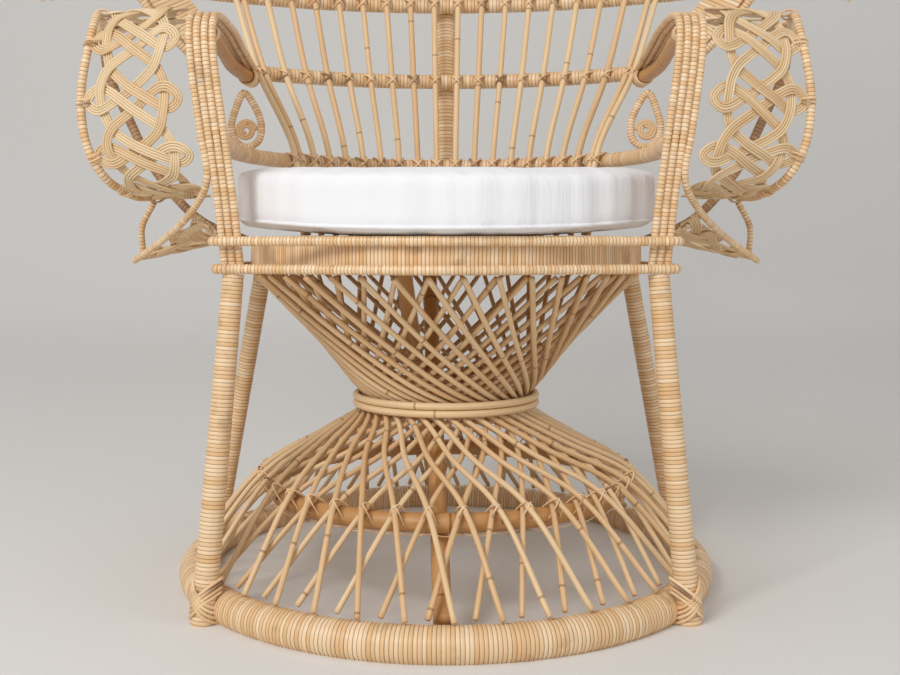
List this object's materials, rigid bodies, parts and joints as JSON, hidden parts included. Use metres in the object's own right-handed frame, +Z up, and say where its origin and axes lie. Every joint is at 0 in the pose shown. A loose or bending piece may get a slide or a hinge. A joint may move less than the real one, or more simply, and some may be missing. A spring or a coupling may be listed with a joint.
{
  "type": "peacock armchair",
  "caption": "Wrapped rattan peacock chair: tall fan back with a woven border, curled woven arms, a waisted lattice base and a loose round cotton cushion.",
  "frame": {"origin": "middle of the whole chair's box at floor level", "axes": "+Z up, the sitter faces -Y, +X to the right of a viewer who stands in front of the chair"},
  "size_m": [1.108, 0.775, 1.4549],
  "materials": {
    "wrapped_cane": "satin",
    "bare_cane": "satin",
    "reed": "satin",
    "cotton": "matte",
    "plastic": "matte"
  },
  "bodies": {
    "frame": {"glide_front_right": "plastic", "glide_front_left": "plastic", "glide_rear_right": "plastic", "glide_rear_left": "plastic", "glide_back": "plastic", "leg_front_right": "wrapped_cane", "leg_front_left": "wrapped_cane", "leg_rear_right": "wrapped_cane", "leg_rear_left": "wrapped_cane", "base_ring": "wrapped_cane", "inner_hoop": "bare_cane", "waist_binding": "bare_cane", "inner_strut_front": "bare_cane", "inner_strut_back": "bare_cane", "lattice_outer_front_right": "reed", "lattice_outer_back_right": "reed", "lattice_outer_back_left": "reed", "lattice_outer_front_left": "reed", "lattice_inner_front_right": "reed", "lattice_inner_back_right": "reed", "lattice_inner_back_left": "reed", "lattice_inner_front_left": "reed", "seat_ring": "wrapped_cane", "seat_rail_lower": "wrapped_cane", "seat_rail_upper": "wrapped_cane", "seat_deck": "bare_cane", "low_rail": "wrapped_cane", "mid_rail": "wrapped_cane", "upper_rail": "wrapped_cane", "third_rail": "wrapped_cane", "fourth_rail": "wrapped_cane", "centre_post": "wrapped_cane", "ribs_right": "bare_cane", "ribs_left": "bare_cane", "arch_band": "wrapped_cane", "border_rod_inner": "wrapped_cane", "border_rod_outer": "wrapped_cane", "border_strand_over": "reed", "border_strand_under": "reed", "arm_cane_right_1": "wrapped_cane", "arm_cane_right_2": "wrapped_cane", "arm_cane_right_3": "wrapped_cane", "arm_cane_right_4": "wrapped_cane", "arm_cane_left_1": "wrapped_cane", "arm_cane_left_2": "wrapped_cane", "arm_cane_left_3": "wrapped_cane", "arm_cane_left_4": "wrapped_cane", "wing_strand_over_right": "reed", "wing_strand_under_right": "reed", "wing_strand_over_left": "reed", "wing_strand_under_left": "reed", "wing_rod_right": "wrapped_cane", "wing_rod_left": "wrapped_cane", "wing_brace_right": "wrapped_cane", "wing_brace_left": "wrapped_cane", "lower_wing_strand_right": "reed", "lower_wing_strand_left": "reed", "scroll_right": "bare_cane", "scroll_left": "bare_cane"},
    "cushion": {"cushion": "cotton"}
  },
  "joints": [
    {"name": "cushion_lift", "type": "slide", "parent": "frame", "child": "cushion", "axis": [0, 0, 1], "range_m": [0, 0.2]}
  ]
}
